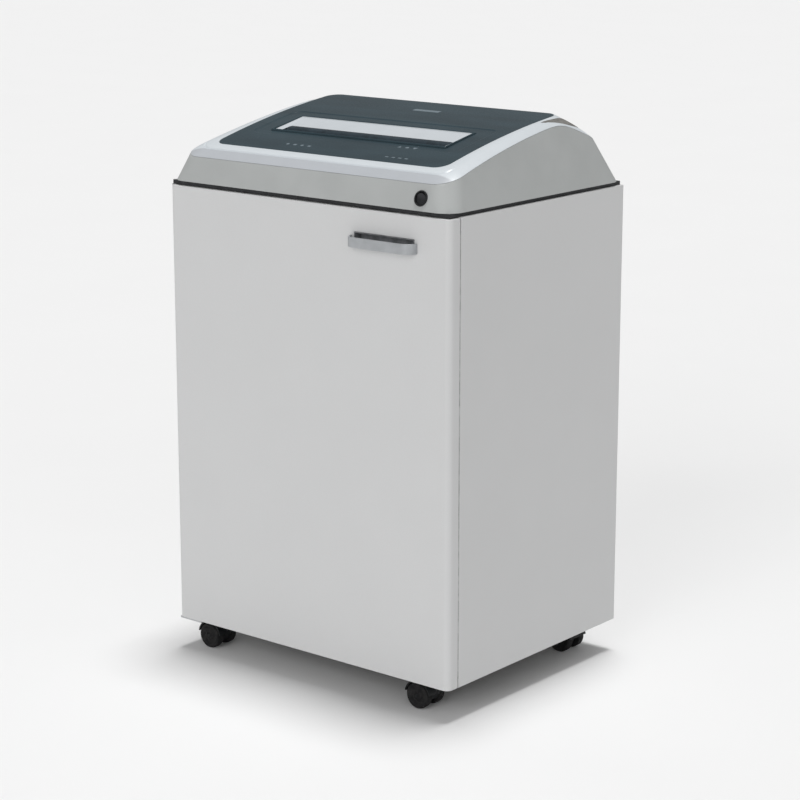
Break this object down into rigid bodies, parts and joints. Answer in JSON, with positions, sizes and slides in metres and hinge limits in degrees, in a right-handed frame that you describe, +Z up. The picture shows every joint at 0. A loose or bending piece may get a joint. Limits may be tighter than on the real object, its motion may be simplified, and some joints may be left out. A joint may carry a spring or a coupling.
{
  "type": "paper shredder",
  "caption": "Upright office paper shredder on casters: a hinged front door on a board cabinet, and a sloping head over coupled cutter rolls, gears and a motor.",
  "frame": {"origin": "on the floor under the middle of the overall box", "axes": "+Z up, +X to the right seen from the front, -Y out of the door's face"},
  "size_m": [0.54, 0.444, 0.851],
  "materials": {
    "laminate": "satin laminate on board, light grey",
    "head_plastic": "fine-textured moulding, warm grey",
    "light_plastic": "smooth moulding, pale grey",
    "dark_plastic": "black, satin",
    "panel_plastic": "slate blue, half gloss",
    "steel": "machined steel",
    "zinc": "zinc-plated sheet and wire",
    "cast_metal": "painted castings and windings",
    "bronze": "sintered bronze",
    "circuit": "green laminate with parts",
    "film": "frosted film",
    "tread": "black"
  },
  "bodies": {
    "cabinet": {"side_panel_left": "laminate", "side_panel_right": "laminate", "back_panel": "laminate", "bottom_panel": "laminate", "deck_plate": "zinc", "deck_rails": "zinc", "seam_frame": "dark_plastic", "door_pivots": "steel", "magnet_catch": "dark_plastic", "door_sensor": "dark_plastic", "vent_grille": "dark_plastic", "power_inlet": "dark_plastic", "head_cover": "head_plastic", "head_rim": "light_plastic", "control_panel": "panel_plastic", "throat_funnel": "light_plastic", "control_board": "circuit", "paper_sensors": "dark_plastic", "switch_bezel": "dark_plastic", "cutter_plate_left": "steel", "cutter_plate_right": "steel", "tie_rods": "zinc", "front_comb": "zinc", "rear_comb": "zinc", "shaft_bearings": "bronze", "idler_axle": "steel", "motor_housing": "cast_metal", "motor_end_bells": "cast_metal", "fan_cowl": "dark_plastic", "run_capacitor": "zinc", "power_board": "circuit", "bag_rails": "zinc", "bag_hoop": "zinc", "waste_bag": "film", "caster_stems": "zinc", "cabinet_screws": "steel"},
    "door": {"door_panel": "laminate", "door_handle": "light_plastic", "handle_cup": "dark_plastic", "catch_plate": "steel", "door_bushes": "light_plastic"},
    "power_switch": {"switch_rocker": "dark_plastic"},
    "front_roll": {"front_cutter_roll": "steel", "front_sync_gear": "steel"},
    "rear_roll": {"rear_cutter_roll": "steel", "rear_sync_gear": "steel", "drive_gear": "steel"},
    "idler": {"idler_gear": "steel"},
    "rotor": {"motor_rotor": "steel", "motor_pinion": "steel", "motor_fan": "light_plastic"},
    "caster_fl": {"caster_body_fl": "dark_plastic"},
    "wheels_fl": {"caster_wheels_fl": "tread"},
    "caster_fr": {"caster_body_fr": "dark_plastic"},
    "wheels_fr": {"caster_wheels_fr": "tread"},
    "caster_rl": {"caster_body_rl": "dark_plastic"},
    "wheels_rl": {"caster_wheels_rl": "tread"},
    "caster_rr": {"caster_body_rr": "dark_plastic"},
    "wheels_rr": {"caster_wheels_rr": "tread"}
  },
  "joints": [
    {"name": "door_hinge", "type": "hinge", "parent": "cabinet", "child": "door", "pos_m": [-0.2645, -0.1975, 0.394], "axis": [0, 0, -1], "range_deg": [0, 110]},
    {"name": "switch_rock", "type": "hinge", "parent": "cabinet", "child": "power_switch", "pos_m": [0.214, -0.19635, 0.761], "axis": [1, 0, 0], "range_deg": [-20, 0]},
    {"name": "motor_spin", "type": "hinge", "parent": "cabinet", "child": "rotor", "pos_m": [0, 0.07789, 0.72532], "axis": [1, 0, 0], "continuous": true},
    {"name": "idler_spin", "type": "hinge", "parent": "cabinet", "child": "idler", "pos_m": [0, 0.01789, 0.72532], "axis": [1, 0, 0], "continuous": true},
    {"name": "rear_roll_spin", "type": "hinge", "parent": "cabinet", "child": "rear_roll", "pos_m": [0, -0.054, 0.738], "axis": [1, 0, 0], "continuous": true},
    {"name": "front_roll_spin", "type": "hinge", "parent": "cabinet", "child": "front_roll", "pos_m": [0, -0.092, 0.738], "axis": [1, 0, 0], "continuous": true},
    {"name": "swivel_fl", "type": "hinge", "parent": "cabinet", "child": "caster_fl", "pos_m": [-0.211, -0.161, 0.035], "axis": [0, 0, 1], "continuous": true},
    {"name": "roll_fl", "type": "hinge", "parent": "caster_fl", "child": "wheels_fl", "pos_m": [-0.228, -0.161, 0.02], "axis": [0, 1, 0], "continuous": true},
    {"name": "swivel_fr", "type": "hinge", "parent": "cabinet", "child": "caster_fr", "pos_m": [0.211, -0.161, 0.035], "axis": [0, 0, 1], "continuous": true},
    {"name": "roll_fr", "type": "hinge", "parent": "caster_fr", "child": "wheels_fr", "pos_m": [0.194, -0.161, 0.02], "axis": [0, 1, 0], "continuous": true},
    {"name": "swivel_rl", "type": "hinge", "parent": "cabinet", "child": "caster_rl", "pos_m": [-0.194, 0.173, 0.035], "axis": [0, 0, 1], "continuous": true},
    {"name": "roll_rl", "type": "hinge", "parent": "caster_rl", "child": "wheels_rl", "pos_m": [-0.211, 0.173, 0.02], "axis": [0, 1, 0], "continuous": true},
    {"name": "swivel_rr", "type": "hinge", "parent": "cabinet", "child": "caster_rr", "pos_m": [0.194, 0.173, 0.035], "axis": [0, 0, 1], "continuous": true},
    {"name": "roll_rr", "type": "hinge", "parent": "caster_rr", "child": "wheels_rr", "pos_m": [0.211, 0.173, 0.02], "axis": [0, 1, 0], "continuous": true}
  ],
  "couplings": [
    {"joint": "idler_spin", "follows": "motor_spin", "ratio": -0.25},
    {"joint": "rear_roll_spin", "follows": "motor_spin", "ratio": 0.070175},
    {"joint": "front_roll_spin", "follows": "motor_spin", "ratio": -0.070175}
  ]
}
